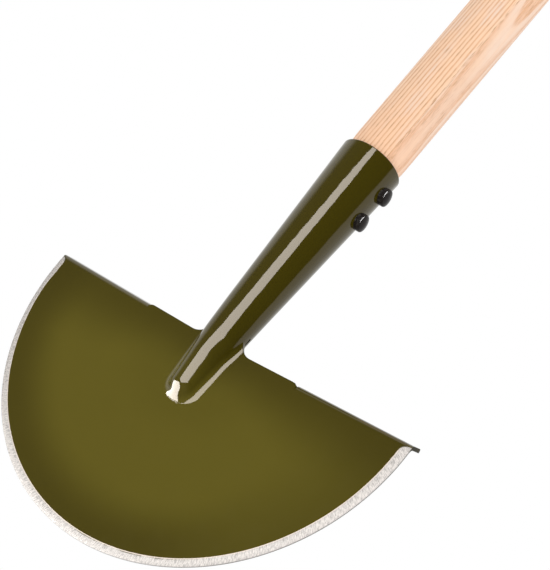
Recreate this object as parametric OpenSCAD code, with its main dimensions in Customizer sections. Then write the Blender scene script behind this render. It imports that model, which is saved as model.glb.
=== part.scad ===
// Half moon lawn edger: a pressed steel half-moon head with folded foot treads and a tapered socket,
// riveted to a turned ash shaft that carries a pinned cross grip.
// Millimetres. +Z runs up the shaft, the blade's front faces -Y, and the origin is the lowest point
// of the cutting edge, straight below the shaft.

/* [Blade] */
// Radius of the half-moon cutting edge
blade_r = 113; // [90:1:140]
// Height of the foot treads' level above the centre of the cutting arc
edge_above_centre = 1.5; // [0:0.5:15]
// Thickness of the steel sheet
sheet_t = 2; // [1.6:0.1:3.5]
// Width of the ground bevel along the cutting edge
bevel_w = 4.1; // [2:0.1:8]
// Thickness left at the very edge by the grinding
edge_land = 0.6; // [0.2:0.1:0.8]
// Angle by which the blade's foot is set back from the line of the shaft
blade_lean = 1.4; // [0:0.1:5]

/* [Treads] */
// Distance from the middle to the inner end of each folded tread
tread_start = 48; // [32:1:70]
// Flat depth of a tread behind its bend
tread_depth = 6.5; // [5:0.1:16]
// Angle through which the sheet is folded back
tread_bend = 69; // [60:1:88]
// Inside radius of the fold
bend_r = 2.4; // [0.8:0.1:4]
// Depth below tread level at which the fold begins
fold_line = 4.1; // [2:0.1:6]
// Angle by which each tread and the cut edge beside it rise towards the tip
tread_rise = 1.3; // [0:0.1:4]
// Depth below tread level of the plain cut edge between tread and socket
cut_edge_drop = 0.8; // [0:0.1:2]
// Radius of the curve from the cut edge up into the socket's side
notch_r = 8; // [4:0.5:12]

/* [Socket] */
// Length of the socket above tread level
socket_len = 121.5; // [90:0.5:160]
// Outside diameter of the socket at its mouth
mouth_d = 34.6; // [30:0.2:42]
// Outside diameter of the socket at tread level
root_d = 20.8; // [18:0.2:26]
// Wall of the socket and of the rib
socket_wall = 2.3; // [1.6:0.1:3]
// Distance from the socket's axis back to the blade's front face
blade_setback = 0.6; // [0:0.1:3]

/* [Rib] */
// Length of the pressed rib below tread level
rib_len = 38; // [28:0.5:55]
// Radius of the rib at the middle of its rounded end
rib_end_r = 9; // [7:0.1:10]
// Height of the rib's end above the blade's front face
rib_proud = 6.4; // [4:0.1:7]
// Amount by which the rib is smaller than the socket where it leaves it
rib_step = 0.2; // [0.1:0.05:0.5]

/* [Shaft] */
// Length of shaft between the socket's mouth and the grip
shaft_len = 700; // [400:5:1000]
// Diameter of the shaft over most of its length
shaft_d = 32.4; // [30:0.2:38]
// Diameter of the shaft where it starts to taper towards the socket
neck_d = 30.9; // [28:0.1:36]
// Length of the short taper into the mouth
neck_len = 10; // [5:1:25]
// Length of the long taper from the neck to full diameter
taper_len = 160; // [60:5:250]
// Diameter of the shaft's shoulder under the grip
shoulder_d = 29; // [26:0.5:32]
// Length of the taper from full diameter to the shoulder
shoulder_len = 90; // [40:5:150]
// Gap between the shaft's foot and the tread level
foot_gap = 5; // [3:0.5:20]
// Chamfer on the shaft's foot
foot_chamfer = 1.5; // [0.5:0.1:3]
// Clearance between the shaft and the socket's bore
shaft_fit = 0.12; // [0.05:0.01:0.3]

/* [Grip] */
// Length of the cross grip
grip_len = 132; // [110:1:170]
// Diameter of the grip's middle
grip_mid_d = 37; // [34:0.5:44]
// Diameter of the grip's round ends
grip_end_d = 29; // [24:0.5:33]
// Half length of the straight middle
grip_mid_half = 18; // [17:0.5:24]
// Length of the taper from middle to end
grip_taper = 14; // [8:1:20]
// Radius that rounds the grip's ends
grip_round = 6; // [3:0.5:10]
// Diameter of the shaft's tenon through the grip
tenon_d = 20; // [16:0.5:24]
// Diameter of the steel pin across grip and tenon
grip_pin_d = 5; // [4:0.5:7]
// Depth of the pin's ends below the grip's surface
grip_pin_recess = 0.5; // [0.3:0.1:2]
// Clearance of tenon, pin and shoulder
grip_fit = 0.1; // [0.05:0.01:0.3]

/* [Rivets] */
// Distance of the upper rivet below the mouth
upper_rivet_drop = 13.2; // [8:0.1:20]
// Distance between the two rivets
rivet_spacing = 18.3; // [14:0.1:40]
// Diameter of a rivet's shank
rivet_d = 6; // [4:0.5:8]
// Diameter of a rivet's domed head
rivet_head_d = 9.4; // [9:0.1:13]
// Height of a rivet's head above the socket's side
rivet_head_h = 4; // [2.5:0.1:5]
// Height of the straight rim under the dome
rivet_rim_h = 1; // [0.5:0.1:1.5]
// Height of a rivet's hammered tail above the socket's side
rivet_tail_h = 0.3; // [0.3:0.1:1.5]
// Angle by which the rivets' heads are turned back from the line along the blade
rivet_turn = 9; // [0:1:30]
// Clearance round the rivets
rivet_fit = 0.06; // [0.03:0.01:0.2]

/* [Hidden] */
$fn = 96;

// Colours of the finishes
paint = "#5c5420";
ash = "#efc9a0";
rivet_black = "#1c1b1a";
pin_steel = "#a8a6a2";

// Heights along the shaft's axis
edge_drop = blade_r + edge_above_centre;
tread_z = edge_drop * cos(blade_lean) - (blade_setback + sheet_t - edge_land) * sin(blade_lean);
mouth_z = tread_z + socket_len;
upper_rivet_z = mouth_z - upper_rivet_drop;
lower_rivet_z = upper_rivet_z - rivet_spacing;
grip_z = mouth_z + shaft_len + grip_mid_d / 2;

// Sizes that follow from others
bend_outer_r = bend_r + sheet_t;
notch_x = root_d / 2 + notch_r;
crest_step = 0.03;
rib_nose_r = rib_end_r + rib_step;
rib_setback = blade_setback + rib_end_r - rib_proud;
rib_drop = rib_len - sqrt(rib_nose_r ^ 2 - (rib_end_r - rib_proud) ^ 2);
rib_tilt = atan(rib_setback / rib_drop);
rib_axis_len = (rib_drop + root_d / 2 * sin(rib_tilt)) / cos(rib_tilt);
rib_lead = 1;
rivet_dome_h = rivet_head_h - rivet_rim_h;
rivet_dome_r = (rivet_head_d ^ 2 / 4 + rivet_dome_h ^ 2) / (2 * rivet_dome_h);
cutter = 2 * blade_r;
overrun = 3;

// Outside radius of the socket at a height above tread level
function socket_r(h) = (root_d + (mouth_d - root_d) * h / socket_len) / 2;

// Space of the blade: its origin is where the shaft's axis meets tread level
module blade_space() {
    translate([0, 0, tread_z])
        rotate([blade_lean, 0, 0])
            children();
}

// Stands a flat drawing of X and Z up in the sheet, from its front face to its back
module through_sheet() {
    translate([0, blade_setback + sheet_t, 0])
        rotate([90, 0, 0])
            linear_extrude(height = sheet_t)
                children();
}

// Everything below an edge that runs level to a distance from the middle and rises from there to a reach
module below_edge(level_to, depth, reach) {
    rise = (reach - level_to) * tan(tread_rise);
    polygon([
        [-reach, -cutter],
        [reach, -cutter],
        [reach, rise - depth],
        [level_to, -depth],
        [-level_to, -depth],
        [-reach, rise - depth]
    ]);
}

// Front view of the flat sheet: half disc up to the folds, and the web between the treads
module blade_outline() {
    intersection() {
        translate([0, -edge_above_centre])
            circle(r = blade_r);
        union() {
            below_edge(tread_start, fold_line, cutter);
            below_edge(notch_x, cut_edge_drop, tread_start);
        }
    }
    difference() {
        translate([-notch_x, -2 * notch_r])
            square([2 * notch_x, 3 * notch_r - cut_edge_drop]);
        for (side = [-1, 1])
            translate([side * notch_x, notch_r - cut_edge_drop])
                circle(r = notch_r);
    }
}

// Side view of a fold and its tread, in Y and Z, with a root that runs down inside the sheet
module tread_section() {
    reach = tread_depth + 2 * bend_outer_r;
    fold_outer_r = bend_outer_r - crest_step;
    fold_inner_r = bend_r + crest_step;
    flat_top = fold_outer_r - crest_step;
    flat_t = fold_outer_r - fold_inner_r;
    translate([blade_setback + bend_outer_r, -fold_line]) {
        difference() {
            union() {
                circle(r = fold_outer_r);
                rotate(90 - tread_bend)
                    square([tread_depth, flat_top]);
            }
            circle(r = fold_inner_r);
            rotate(90 - tread_bend)
                translate([0, flat_top - flat_t - reach])
                    square(reach);
            translate([-reach, -reach])
                square([2 * reach, reach]);
        }
        translate([-fold_outer_r, -overrun])
            square([flat_t, overrun]);
    }
}

// One folded tread, from its inner end out to the circle of the cutting edge
module tread() {
    intersection() {
        translate([tread_start, 0, -fold_line])
            rotate([0, -tread_rise, 0])
                translate([0, 0, fold_line])
                    rotate([90, 0, 90])
                        linear_extrude(height = blade_r - tread_start + overrun)
                            tread_section();
        translate([0, cutter / 2, -edge_above_centre])
            rotate([90, 0, 0])
                cylinder(h = cutter, r = blade_r - crest_step);
    }
}

// What the grinding takes off: all that stands in front of the bevel's cone
module bevel_cut() {
    bevel_depth = sheet_t - edge_land;
    translate([0, blade_setback, -edge_above_centre])
        rotate([-90, 0, 0])
            rotate_extrude()
                polygon([
                    [blade_r - bevel_w, -overrun],
                    [blade_r - bevel_w, 0],
                    [blade_r + overrun, bevel_depth * (bevel_w + overrun) / bevel_w],
                    [blade_r + overrun, -overrun]
                ]);
}

// The rib as a round body that leaves the socket at its front and leans back into the blade,
// thinner than its outside by inset
module rib_body(inset) {
    start_r = root_d / 2 - rib_step;
    narrowing = (start_r - rib_end_r) / rib_axis_len;
    tail = rib_end_r + overrun;
    translate([0, -root_d / 2, 0])
        rotate([rib_tilt, 0, 0])
            translate([0, root_d / 2, -rib_axis_len])
                difference() {
                    translate([0, 0, -tail])
                        cylinder(h = tail + rib_axis_len + rib_lead,
                                 r1 = rib_end_r - narrowing * tail - inset,
                                 r2 = start_r + narrowing * rib_lead - inset);
                    difference() {
                        translate([0, 0, -2 * tail])
                            cylinder(h = 2 * tail, r = 2 * tail);
                        sphere(r = rib_nose_r - inset);
                    }
                }
}

// Front part of the rib, cut off level with the back of the sheet
module rib() {
    intersection() {
        rib_body(0);
        translate([-cutter / 2, blade_setback + sheet_t - cutter, -cutter / 2])
            cube(cutter);
    }
}

// Cone round the shaft's axis from tread level up, thinner than the socket's outside by inset
module socket_cone(h, inset) {
    translate([0, 0, tread_z])
        cylinder(h = h, r1 = socket_r(0) - inset, r2 = socket_r(h) - inset);
}

// Round hole or shank across the socket, in line with the rivets
module cross_bar(z, r) {
    rotate([0, 0, rivet_turn])
        translate([-mouth_d, 0, z])
            rotate([0, 90, 0])
                cylinder(h = 2 * mouth_d, r = r);
}

module head() {
    color(paint)
        difference() {
            union() {
                blade_space() {
                    difference() {
                        union() {
                            through_sheet()
                                blade_outline();
                            tread();
                            mirror([1, 0, 0])
                                tread();
                        }
                        bevel_cut();
                    }
                    rib();
                }
                socket_cone(socket_len, 0);
            }
            blade_space()
                rib_body(socket_wall);
            socket_cone(socket_len + overrun, socket_wall);
            for (z = [upper_rivet_z, lower_rivet_z])
                cross_bar(z, rivet_d / 2 + rivet_fit);
        }
}

// Half of the shaft's section, as radius and height
module shaft_section() {
    inset = socket_wall + shaft_fit;
    foot_z = tread_z + foot_gap;
    top_z = mouth_z + shaft_len;
    polygon([
        [0, foot_z],
        [socket_r(foot_gap) - inset - foot_chamfer, foot_z],
        [socket_r(foot_gap + foot_chamfer) - inset, foot_z + foot_chamfer],
        [socket_r(socket_len) - inset, mouth_z],
        [neck_d / 2, mouth_z + neck_len],
        [shaft_d / 2, mouth_z + neck_len + taper_len],
        [shaft_d / 2, top_z - shoulder_len],
        [shoulder_d / 2, top_z],
        [shoulder_d / 2, grip_z],
        [0, grip_z]
    ]);
}

// Cross grip as a solid bar along X, larger than itself by grow
module grip_bar(grow) {
    half = grip_len / 2;
    end_r = grip_end_d / 2 + grow;
    mid_r = grip_mid_d / 2 + grow;
    translate([0, 0, grip_z])
        rotate([0, 90, 0])
            rotate_extrude() {
                polygon([
                    [0, -half],
                    [end_r - grip_round, -half],
                    [end_r, grip_round - half],
                    [end_r, -grip_mid_half - grip_taper],
                    [mid_r, -grip_mid_half],
                    [mid_r, grip_mid_half],
                    [end_r, grip_mid_half + grip_taper],
                    [end_r, half - grip_round],
                    [end_r - grip_round, half],
                    [0, half]
                ]);
                for (side = [-1, 1])
                    translate([end_r - grip_round, side * (half - grip_round)])
                        intersection() {
                            circle(r = grip_round);
                            translate([0, -grip_round])
                                square([grip_round, 2 * grip_round]);
                        }
            }
}

// Hole or pin across the grip along Y
module grip_cross_pin(r, half_len) {
    translate([0, half_len, grip_z])
        rotate([90, 0, 0])
            cylinder(h = 2 * half_len, r = r);
}

module handle_shaft() {
    color(ash)
        difference() {
            union() {
                difference() {
                    rotate_extrude()
                        shaft_section();
                    grip_bar(grip_fit);
                }
                intersection() {
                    translate([0, 0, mouth_z + shaft_len])
                        cylinder(h = 2 * grip_mid_d, r = tenon_d / 2);
                    grip_bar(0);
                }
                translate([0, 0, mouth_z + shaft_len - overrun])
                    cylinder(h = 2 * overrun, r = tenon_d / 2);
            }
            for (z = [upper_rivet_z, lower_rivet_z])
                cross_bar(z, rivet_d / 2 + rivet_fit);
            grip_cross_pin(grip_pin_d / 2 + grip_fit, grip_mid_d);
        }
}

// One domed rivet head along +Z, whose foot reaches inside the socket's side
module rivet_head(side_r) {
    foot = rivet_head_d ^ 2 / (4 * side_r);
    rotate_extrude()
        intersection() {
            translate([0, side_r + rivet_head_h - rivet_dome_r])
                circle(r = rivet_dome_r);
            translate([0, side_r - foot])
                square([rivet_head_d / 2, foot + rivet_head_h]);
        }
}

// A shank across the socket with a domed head on the socket's right side and a flat tail on its left
module rivet(z) {
    color(rivet_black) {
        intersection() {
            cross_bar(z, rivet_d / 2);
            socket_cone(socket_len, -rivet_tail_h);
        }
        difference() {
            rotate([0, 0, rivet_turn])
                translate([0, 0, z])
                    rotate([0, 90, 0])
                        rivet_head(socket_r(z - tread_z));
            socket_cone(socket_len, -rivet_fit);
        }
    }
}

module upper_rivet() {
    rivet(upper_rivet_z);
}

module lower_rivet() {
    rivet(lower_rivet_z);
}

module cross_grip() {
    color(ash)
        difference() {
            grip_bar(0);
            translate([0, 0, grip_z - grip_mid_d])
                cylinder(h = 2 * grip_mid_d, r = tenon_d / 2 + grip_fit);
            grip_cross_pin(grip_pin_d / 2 + grip_fit, grip_mid_d);
        }
}

module grip_pin() {
    color(pin_steel)
        grip_cross_pin(grip_pin_d / 2, grip_mid_d / 2 - grip_pin_recess);
}

head();
handle_shaft();
upper_rivet();
lower_rivet();
cross_grip();
grip_pin();
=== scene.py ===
"""Looks of the half moon edger: a finer head, rivets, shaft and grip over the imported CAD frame."""

from math import acos, asin, atan2, cos, pi, radians, sin, sqrt, tan

import bmesh
import bpy
import numpy as np
from mathutils import Euler, Matrix, Vector


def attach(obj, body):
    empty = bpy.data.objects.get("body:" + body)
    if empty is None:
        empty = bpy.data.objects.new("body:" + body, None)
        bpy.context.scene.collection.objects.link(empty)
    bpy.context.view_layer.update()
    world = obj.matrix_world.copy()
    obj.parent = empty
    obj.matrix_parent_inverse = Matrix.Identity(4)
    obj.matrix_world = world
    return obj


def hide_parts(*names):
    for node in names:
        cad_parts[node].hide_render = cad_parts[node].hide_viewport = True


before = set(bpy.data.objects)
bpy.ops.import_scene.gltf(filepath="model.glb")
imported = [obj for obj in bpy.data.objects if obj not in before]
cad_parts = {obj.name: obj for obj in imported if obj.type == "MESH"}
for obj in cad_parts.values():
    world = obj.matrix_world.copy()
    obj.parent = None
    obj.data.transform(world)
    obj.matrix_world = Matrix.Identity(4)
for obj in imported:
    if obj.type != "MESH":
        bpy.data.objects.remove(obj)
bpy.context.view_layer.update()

MM = 0.001

# Head, in mm: the values of the part's source
BLADE_R = 113.0
EDGE_ABOVE_CENTRE = 1.5
SHEET = 2.0
BEVEL_W = 4.1
EDGE_LAND = 0.6
LEAN = radians(1.4)
TREAD_START = 48.0
TREAD_DEPTH = 6.5
TREAD_BEND = radians(69.0)
BEND_R = 2.4
FOLD_LINE = 4.1
TREAD_RISE = radians(1.3)
CUT_EDGE_DROP = 0.8
NOTCH_R = 8.0
SOCKET_LEN = 121.5
MOUTH_D = 34.6
ROOT_D = 20.8
WALL = 2.3
FRONT = 0.6
RIB_END_R = 9.0
RIB_PROUD = 6.4
RIB_LEN = 38.0

# Shaft, grip and rivets, as there
SHAFT_LEN = 700.0
SHAFT_D = 32.4
NECK_D = 30.9
NECK_LEN = 10.0
TAPER_LEN = 160.0
SHOULDER_D = 29.0
SHOULDER_LEN = 90.0
FOOT_GAP = 5.0
FOOT_CHAMFER = 1.5
SHAFT_FIT = 0.12
GRIP_LEN = 132.0
GRIP_MID_D = 37.0
GRIP_END_D = 29.0
GRIP_MID_HALF = 18.0
GRIP_TAPER = 14.0
GRIP_ROUND = 6.0
TENON_D = 20.0
GRIP_PIN_D = 5.0
GRIP_PIN_RECESS = 0.5
GRIP_FIT = 0.1
UPPER_RIVET_DROP = 13.2
RIVET_SPACING = 18.3
RIVET_D = 6.0
RIVET_HEAD_D = 9.4
RIVET_TAIL_H = 0.3
RIVET_TURN = radians(9.0)

# Sizes that follow from those above
BACK = FRONT + SHEET
NOTCH_X = ROOT_D / 2 + NOTCH_R
NOTCH_CENTRE_Z = NOTCH_R - CUT_EDGE_DROP
BEND_OUTER_R = BEND_R + SHEET
EDGE_DROP = BLADE_R + EDGE_ABOVE_CENTRE
TREAD_Z = EDGE_DROP * cos(LEAN) - (BACK - EDGE_LAND) * sin(LEAN)
ARC_Z = TREAD_Z - EDGE_ABOVE_CENTRE
MOUTH_Z = TREAD_Z + SOCKET_LEN
GRIP_Z = MOUTH_Z + SHAFT_LEN + GRIP_MID_D / 2
UPPER_RIVET_Z = MOUTH_Z - UPPER_RIVET_DROP
LOWER_RIVET_Z = UPPER_RIVET_Z - RIVET_SPACING
RIB_DROP = RIB_LEN - sqrt(RIB_END_R**2 - (RIB_END_R - RIB_PROUD) ** 2)
RIB_SETBACK = FRONT + RIB_END_R - RIB_PROUD

# Pressed and rounded forms that only the looks carry, in mm
HOLLOW_AT = (-27.0, -19.0, -10.0, 0.0, 4.0, 7.0)  # heights along the hollow beside the rib
HOLLOW_R = (6.2, 5.6, 5.0, 4.0, 2.4, 0.8)  # its radius there
RIB_SLIM = 1.1  # difference of the rib's radius from the solid's, at the same crest
RIB_SLIM_OVER = 12.0
RIB_DRIFT = -0.6  # sideways drift of the pressing towards the nose
NOSE_Z = 27.0  # depth below tread level at which the nose begins
NOSE_ROUND = 5.5  # rounding from the crest into the nose's slope
NOSE_SLOPE = radians(40.0)
SPINE_SOFTNESS = 6.0  # length over which the socket's line bends into the rib's
WEB_FADE = 4.0  # height over which the web's edge dies away
LEVEL_FROM, LEVEL_TO = 8.0, 24.0  # heights over which sections turn square to the shaft
CORNER_FALL = 1.0  # fall of the cut edge beside a tread
CORNER_FALL_OVER = 2.0
TREAD_CORNER = 0.8  # rounding of a tread's far edge
RIM_ROUND = 0.7
EDGE_ROUND = 0.35
SADDLE_LEAD = 0.6  # end of the shoulder, left for the saddle under the grip
PIN_CHAMFER = 0.5
RIVET_CROWN = 3.7  # height of a rivet's head, and of its wall below the low crown
RIVET_WALL = 2.7
RIVET_EDGE = 0.9
RIVET_SEAT = 0.3

# Wander of the hand-ground bevel's inner edge, in mm, by angles round the arc
WANDER_MEAN = 0.30
WANDER_SWING = 0.35
WANDER_PEAK = radians(36.0)
WANDER_RATE = 2.95
WANDER_FADE = (radians(79.0), radians(86.0))

# Mesh densities, in steps along or across a form
HALF_COLUMNS = 36
BACK_COLUMNS = 48
RIB_FINE_Z, RIB_ROWS, RIB_FINE_ROWS = -4.0, 18, 5
WEB_ROWS, FADE_ROWS, TUBE_ROWS = 8, 5, 17
RIM_STEPS = 4
NOSE_STEPS = 40
NOTCH_STEPS, CUT_EDGE_STEPS = 6, 19
BEVEL_STEPS = 240
FOLD_STEPS, TREAD_CORNER_STEPS = 12, 6
TURN_STEPS, PIN_TURN_STEPS, RIVET_TURN_STEPS, DRILL_STEPS = 128, 48, 64, 64
NECK_STEPS, SWELL_STEPS, SHAFT_STEPS, SHOULDER_STEPS = 12, 16, 11, 8
SADDLE_STEPS, TENON_END_STEPS = 4, 5
GRIP_END_RINGS = (4.0, 8.0)
GRIP_ROUND_STEPS, GRIP_END_STEPS, GRIP_TAPER_STEPS, GRIP_MID_STEPS = 8, 5, 8, 12
CROWN_STEPS, RIVET_EDGE_STEPS = 14, 7

PAINT, STEEL, SCUFFED = 0, 1, 2
MIRROR = np.array([-1, 1, 1])
SHARP_ANGLE = radians(35.0)
WELD = 0.002  # distance in mm at which corners become one
NEAR = 1e-6
HALVINGS, ROUNDS = 60, 20


def steps(start, end, count):
    """Values from start to end in equal steps."""
    return np.linspace(start, end, count + 1)


def full_turn(count):
    return steps(0.0, 2 * pi, count)


def smoothstep(low, high, value):
    t = np.clip((value - low) / (high - low), 0.0, 1.0)
    return t * t * (3.0 - 2.0 * t)


def resample(points, count):
    """The polyline through points in equal steps."""
    points = np.asarray(points, float)
    lengths = np.r_[0.0, np.cumsum(np.linalg.norm(np.diff(points, axis=0), axis=1))]
    at = steps(0.0, lengths[-1], count)
    return np.stack([np.interp(at, lengths, column) for column in points.T], axis=1)


def crossing(gap, low, high):
    """Where gap(z) changes sign between low and high, by halving."""
    for _ in range(HALVINGS):
        middle = (low + high) / 2
        if (gap(low) > 0) == (gap(middle) > 0):
            low = middle
        else:
            high = middle
    return (low + high) / 2


def add_object(name, data):
    """A new object in the scene."""
    made = bpy.data.objects.new(name, data)
    bpy.context.scene.collection.objects.link(made)
    return made


def blade_to_frame(points):
    """Points of the leaning blade's own space in the frame."""
    x, y, z = np.asarray(points, float).T
    c, s = cos(LEAN), sin(LEAN)
    return np.stack([x, y * c - z * s, y * s + z * c + TREAD_Z], axis=1)


class Skin:
    """A mesh gathered face by face from corner positions in mm and welded at the end."""

    def __init__(self):
        self.points, self.faces, self.materials = [], [], []

    def face(self, corners, material=PAINT):
        first = len(self.points)
        self.points.extend(np.asarray(corners, float).tolist())
        self.faces.append(range(first, len(self.points)))
        self.materials.append(material)

    def grid(self, rows, material=PAINT):
        """Quads between neighbouring rows of equally many points."""
        for row, after in zip(rows, rows[1:]):
            for k in range(len(row) - 1):
                self.face([row[k], row[k + 1], after[k + 1], after[k]], material)

    def object(self, name, round_edges=0.0):
        """The welded mesh as a new object, with its painted sharp edges rounded."""
        mesh = bpy.data.meshes.new(name)
        mesh.from_pydata((np.array(self.points) * MM).tolist(), [], [list(f) for f in self.faces])
        mesh.polygons.foreach_set("material_index", self.materials)
        bm = bmesh.new()
        bm.from_mesh(mesh)
        bmesh.ops.remove_doubles(bm, verts=bm.verts, dist=WELD * MM)
        bmesh.ops.dissolve_degenerate(bm, edges=bm.edges, dist=WELD * MM)
        bmesh.ops.recalc_face_normals(bm, faces=bm.faces)
        weight = bm.edges.layers.float.new("bevel_weight_edge")
        for edge in bm.edges:
            painted = all(f.material_index == PAINT for f in edge.link_faces)
            fold_end = all(abs(abs(v.co.x) - TREAD_START * MM) < WELD * MM for v in edge.verts)
            sharp = len(edge.link_faces) == 2 and edge.calc_face_angle() > SHARP_ANGLE
            if painted and sharp and not fold_end:
                edge[weight] = 1.0
        bm.to_mesh(mesh)
        bm.free()
        made = add_object(name, mesh)
        smooth(made, round_edges)
        return made


def sweep(name, rows):
    """An object of a single grid."""
    skin = Skin()
    skin.grid(rows)
    return skin.object(name)


def smooth(made, round_edges):
    """Smooth shading with crisp edges; flat faces keep their own normal right up to a curve."""
    made.data.shade_smooth()
    made.data.set_sharp_from_angle(angle=SHARP_ANGLE)
    if round_edges:
        bevel = made.modifiers.new("rounded_edges", "BEVEL")
        bevel.limit_method = "WEIGHT"
        bevel.width = round_edges * MM
        bevel.segments = 3
        bevel.use_clamp_overlap = False
    normals = made.modifiers.new("flat_normals", "WEIGHTED_NORMAL")
    normals.mode = "FACE_AREA"
    normals.weight = 100
    normals.keep_sharp = True


# Rib and socket: sections across the spine, from nose to mouth. Heights are above tread level.

def rib_share(z):
    """Share of the rib's own form at a height: none from tread level up."""
    return float(smoothstep(0.0, RIB_SLIM_OVER, -z))


def girth(z):
    """Outside radius of rib or socket at a height."""
    if z >= 0:
        return (ROOT_D + (MOUTH_D - ROOT_D) * z / SOCKET_LEN) / 2
    return ROOT_D / 2 + (ROOT_D / 2 - RIB_END_R) * z / RIB_DROP - RIB_SLIM * rib_share(z)


def spine(z):
    """Depth of the middle of rib or socket in the blade's space, bending softly at tread level."""
    below, above = -RIB_SETBACK / RIB_DROP, tan(LEAN)
    bend = (z + sqrt(z * z + SPINE_SOFTNESS**2)) / 2
    return below * z + (above - below) * bend - RIB_SLIM * rib_share(z)


def fillet(z):
    """Radius of the hollow between the rib or socket and the sheet."""
    return float(np.interp(z, HOLLOW_AT, HOLLOW_R))


def fillet_reach(z):
    """Distance from the middle at which the hollow meets the sheet's front."""
    f = fillet(z)
    return sqrt((girth(z) + f) ** 2 - (FRONT - f - spine(z)) ** 2)


def notch_edge(z):
    """Distance from the middle to the web's curved edge."""
    return NOTCH_X - sqrt(NOTCH_R**2 - (NOTCH_CENTRE_Z - z) ** 2)


def cut_edge_z(x):
    """Height of the plain cut edge, which rises outwards and falls to the fold's level at the tread."""
    fall = CORNER_FALL * smoothstep(TREAD_START - CORNER_FALL_OVER, TREAD_START, x)
    return tan(TREAD_RISE) * (x - NOTCH_X) - CUT_EDGE_DROP - fall


def tread_rise(x):
    """Height gained by a tread from its inner end out to a distance from the middle."""
    return tan(TREAD_RISE) * (x - TREAD_START)


def edge_x(radius, z):
    """Distance from the middle at which a height that rises with the tread meets a circle of the arc."""
    x = radius
    for _ in range(ROUNDS):
        x = sqrt(radius**2 - (z + tread_rise(x) + EDGE_ABOVE_CENTRE) ** 2)
    return x


def bevel_wander(turn):
    """Shift of the bevel's inner edge at an angle round the arc from straight down."""
    fade = 1.0 - smoothstep(*WANDER_FADE, abs(turn))
    return fade * (WANDER_MEAN + WANDER_SWING * np.cos(WANDER_RATE * (turn - WANDER_PEAK)))


def angle_at_depth(z, depth, inset=0.0):
    """Angle round the spine, from straight ahead, at which a circle reaches a depth."""
    return acos((spine(z) - depth) / (girth(z) - inset))


def round_spine(z, turns, inset=0.0):
    """Points of a section as (x, depth), by angles round the spine from straight ahead."""
    r = girth(z) - inset
    return np.stack([r * np.sin(turns), spine(z) - r * np.cos(turns)], axis=1)


def ring(z, start, end, count, inset=0.0):
    """Arc of a section in equal steps."""
    return round_spine(z, steps(start, end, count), inset)


# Heights at which the web ends in the socket's side, its edge has died away, and the hollow reaches that edge
WEB_TOP = crossing(lambda z: notch_edge(z) - girth(z) * sin(angle_at_depth(z, FRONT)), 0.0, NOTCH_CENTRE_Z)
FADE_TOP = WEB_TOP + WEB_FADE
FLAT_TOP = crossing(lambda z: notch_edge(z) - fillet_reach(z), -CUT_EDGE_DROP, WEB_TOP)

# Turn of the fold at which it passes the cut edge's level, and the steps across the sheet's edge
EDGE_TURN = asin((FOLD_LINE + cut_edge_z(TREAD_START)) / BEND_OUTER_R)
EDGE_SHARE = BEND_OUTER_R * (1 - cos(EDGE_TURN)) / SHEET
WALL_STEPS = np.array([0.0, EDGE_SHARE, (1 + EDGE_SHARE) / 2, 1.0])
GROOVE_HALF = HALF_COLUMNS + len(WALL_STEPS) - 1


def half_front(z):
    """Right half of the front section, from the crest out to the sheet or to the socket's side."""
    if z >= WEB_TOP:
        return ring(z, 0.0, angle_at_depth(z, FRONT), HALF_COLUMNS)
    f, reach = fillet(z), fillet_reach(z)
    turn = acos((spine(z) + f - FRONT) / (girth(z) + f))
    last = 0.0
    if z > FLAT_TOP:
        last = min(asin(min((reach - notch_edge(z)) / f, 1.0)), turn)
    hollow = steps(turn, last, HALF_COLUMNS - 1)[1:]
    hollow = np.stack([reach - f * np.sin(hollow), FRONT - f + f * np.cos(hollow)], axis=1)
    return resample(np.concatenate([ring(z, 0.0, turn, 2 * HALF_COLUMNS), hollow]), HALF_COLUMNS)


def both_sides(half):
    """A right half section with its mirror image, from left to right."""
    return np.concatenate([half[:0:-1] * (-1, 1), half])


def web_side(z):
    """Edge of the web, or the matching stretch of the socket's side, from front to back."""
    front = half_front(z)[-1]
    edge = max(notch_edge(min(z, WEB_TOP)), 0.0)
    square = front + (np.array([edge, BACK]) - front) * WALL_STEPS[:, None]
    start, end = angle_at_depth(z, FRONT), angle_at_depth(z, BACK)
    share = smoothstep(WEB_TOP, FADE_TOP, z)
    return (1 - share) * square + share * round_spine(z, start + (end - start) * WALL_STEPS)


def tube_back(z, inset=0.0):
    """Back of the socket, outside or at an inset."""
    start = angle_at_depth(z, BACK, inset)
    return ring(z, start, 2 * pi - start, BACK_COLUMNS, inset)


def groove(z):
    """Inside of the rib's or socket's front."""
    start = angle_at_depth(z, BACK, WALL)
    return ring(z, -start, start, 2 * GROOVE_HALF, WALL)


def place(section, z):
    """A section as frame points: level with the blade low down, square to the shaft higher up."""
    z_column = np.full(len(section), z)
    section = section + (RIB_DRIFT * rib_share(z), 0.0)
    leaning = blade_to_frame(np.column_stack([section, z_column]))
    level = np.column_stack([section[:, 0], section[:, 1] - spine(z), z_column + TREAD_Z])
    share = smoothstep(LEVEL_FROM, LEVEL_TO, z)
    return (1 - share) * leaning + share * level


def nose_slope(crest):
    """Section straight down the nose, from its crest to the blade, as (distance, depth) points."""
    turns = steps(0.0, NOSE_SLOPE, HALF_COLUMNS - 1)
    rounding = np.stack([NOSE_ROUND * np.sin(turns), crest + NOSE_ROUND * (1 - np.cos(turns))], axis=1)
    last = rounding[-1]
    toe = (last[0] + (FRONT - last[1]) / tan(NOSE_SLOPE), FRONT)
    return resample(np.concatenate([rounding, [toe]]), HALF_COLUMNS)


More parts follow.
